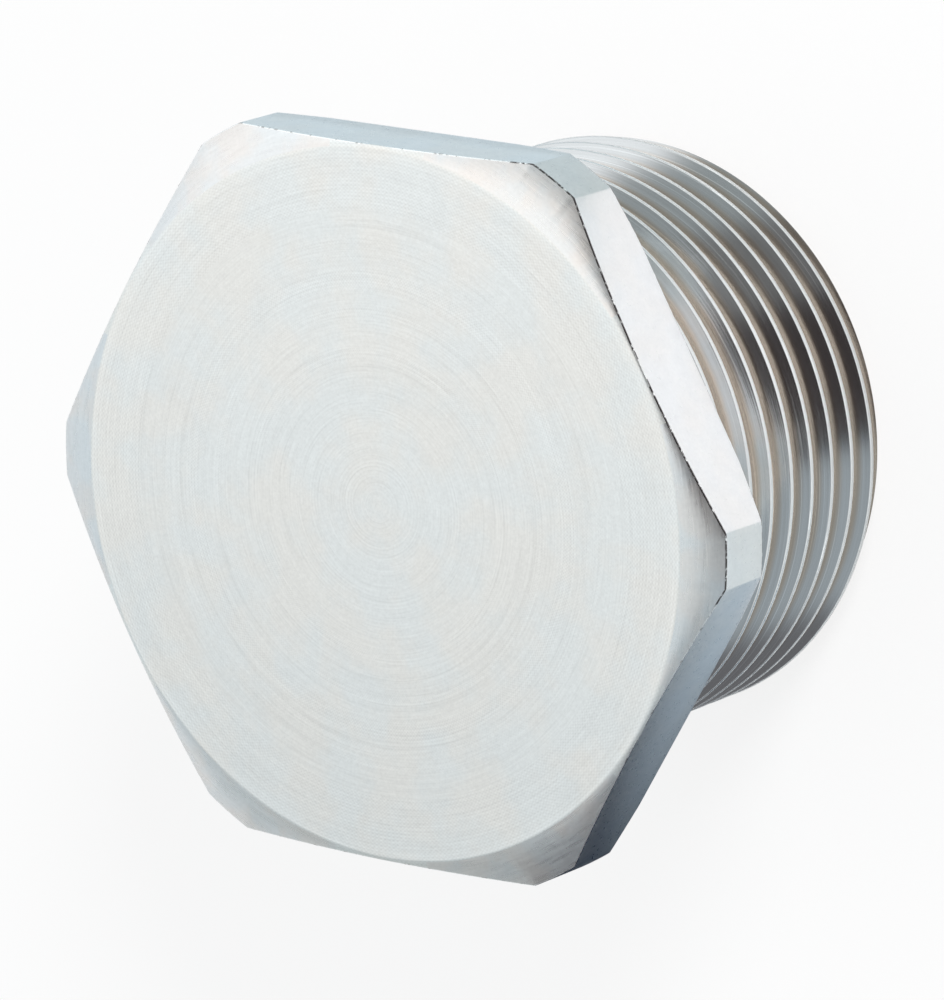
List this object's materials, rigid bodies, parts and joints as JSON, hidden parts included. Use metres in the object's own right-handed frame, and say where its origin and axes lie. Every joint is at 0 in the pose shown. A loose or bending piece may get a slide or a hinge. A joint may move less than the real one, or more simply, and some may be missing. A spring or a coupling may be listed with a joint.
{
  "type": "blind plug",
  "caption": "Solid hexagon-head blind plug with a parallel metric thread and a relief groove under the head, for closing an unused cable entry.",
  "frame": {"origin": "centre of the sealing face on the underside of the head", "axes": "+Z along the plug's axis, out of the front face of the head; the thread points along -Z; two corners of the hexagon lie on the X axis"},
  "size_m": [0.0334, 0.03, 0.0195],
  "materials": {
    "nickel_plated_brass": "nickel plated over turned brass: satin concentric turning marks on the face and chamfers, plain drawn flats, bright thread crests"
  },
  "bodies": {
    "root": {"blind_plug": "nickel_plated_brass"}
  },
  "joints": []
}
